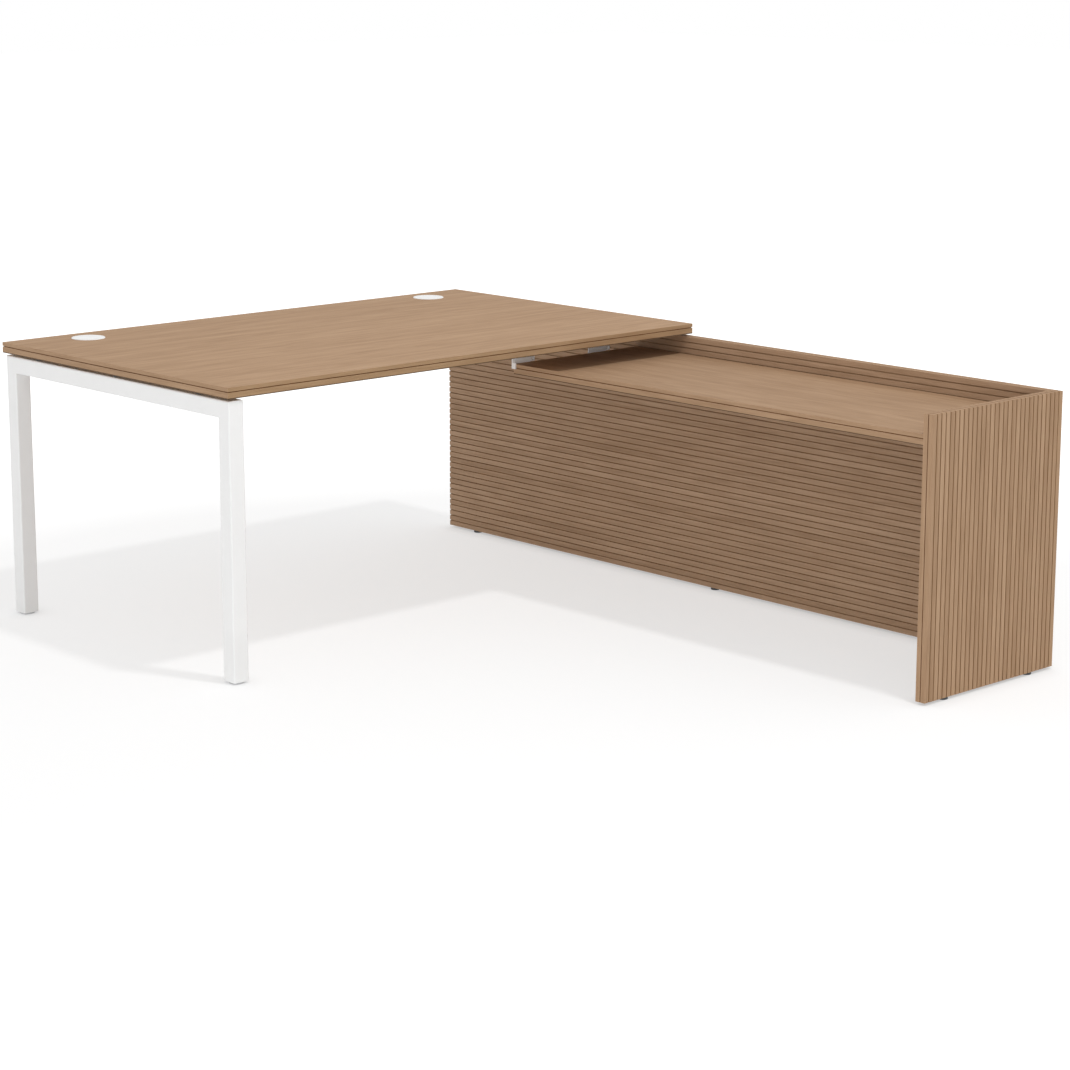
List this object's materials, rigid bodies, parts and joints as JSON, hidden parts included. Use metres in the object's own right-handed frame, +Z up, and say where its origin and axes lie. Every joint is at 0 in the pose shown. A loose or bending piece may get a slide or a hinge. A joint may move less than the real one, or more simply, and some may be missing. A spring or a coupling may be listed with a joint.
{
  "type": "l-shaped desk",
  "caption": "L-shaped office desk: wooden desktop on a white steel leg frame, resting over a lower return with slatted wooden end and back panels and an open knee space.",
  "frame": {"origin": "on the floor, in the middle of the object's overall footprint", "axes": "+X along the desktop from the leg frame to the back panel, +Y away from the person who sits at the desktop and along the return, +Z up"},
  "size_m": [1.608, 2.258, 0.742],
  "materials": {
    "wood_board": "satin wood decor",
    "wood_slats": "satin wood decor",
    "white_steel": "white powder coat",
    "white_plastic": "matte",
    "grey_plastic": "matte",
    "dark_plastic": "matte",
    "zinc_steel": "zinc plated"
  },
  "bodies": {
    "desk": {"desktop": "wood_board", "return_top": "wood_board", "end_panel": "wood_slats", "back_panel": "wood_slats", "grommet_sleeve_left": "white_plastic", "grommet_sleeve_right": "white_plastic", "front_leg_tube": "white_steel", "rear_leg_tube": "white_steel", "leg_rail_tube": "white_steel", "front_stretcher": "white_steel", "rear_stretcher": "white_steel", "stretcher_plates": "white_steel", "front_hanger_bracket": "white_steel", "rear_hanger_bracket": "white_steel", "frame_spacers": "dark_plastic", "panel_spacers": "dark_plastic", "desk_angle_brackets": "zinc_steel", "return_rear_brackets": "zinc_steel", "return_end_brackets": "zinc_steel", "corner_brackets": "zinc_steel", "frame_bolts": "zinc_steel", "end_panel_inserts": "zinc_steel", "back_panel_inserts": "zinc_steel", "front_leg_plug": "grey_plastic", "rear_leg_plug": "grey_plastic"},
    "front_leg_glide": {"front_leg_glide": "grey_plastic"},
    "rear_leg_glide": {"rear_leg_glide": "grey_plastic"},
    "end_panel_foot_front": {"end_panel_foot_front": "dark_plastic"},
    "end_panel_foot_rear": {"end_panel_foot_rear": "dark_plastic"},
    "back_panel_foot_near": {"back_panel_foot_near": "dark_plastic"},
    "back_panel_foot_middle": {"back_panel_foot_middle": "dark_plastic"},
    "back_panel_foot_far": {"back_panel_foot_far": "dark_plastic"},
    "grommet_cap_left": {"grommet_cap_left": "white_plastic"},
    "grommet_cap_right": {"grommet_cap_right": "white_plastic"}
  },
  "joints": [
    {"name": "front_leg_glide_screw", "type": "slide", "parent": "desk", "child": "front_leg_glide", "axis": [0, 0, -1], "range_m": [0, 0.012]},
    {"name": "rear_leg_glide_screw", "type": "slide", "parent": "desk", "child": "rear_leg_glide", "axis": [0, 0, -1], "range_m": [0, 0.012]},
    {"name": "end_panel_foot_front_screw", "type": "slide", "parent": "desk", "child": "end_panel_foot_front", "axis": [0, 0, -1], "range_m": [0, 0.012]},
    {"name": "end_panel_foot_rear_screw", "type": "slide", "parent": "desk", "child": "end_panel_foot_rear", "axis": [0, 0, -1], "range_m": [0, 0.012]},
    {"name": "back_panel_foot_near_screw", "type": "slide", "parent": "desk", "child": "back_panel_foot_near", "axis": [0, 0, -1], "range_m": [0, 0.012]},
    {"name": "back_panel_foot_middle_screw", "type": "slide", "parent": "desk", "child": "back_panel_foot_middle", "axis": [0, 0, -1], "range_m": [0, 0.012]},
    {"name": "back_panel_foot_far_screw", "type": "slide", "parent": "desk", "child": "back_panel_foot_far", "axis": [0, 0, -1], "range_m": [0, 0.012]},
    {"name": "grommet_cap_left_lift", "type": "slide", "parent": "desk", "child": "grommet_cap_left", "axis": [0, 0, 1], "range_m": [0, 0.03]},
    {"name": "grommet_cap_right_lift", "type": "slide", "parent": "desk", "child": "grommet_cap_right", "axis": [0, 0, 1], "range_m": [0, 0.03]}
  ]
}
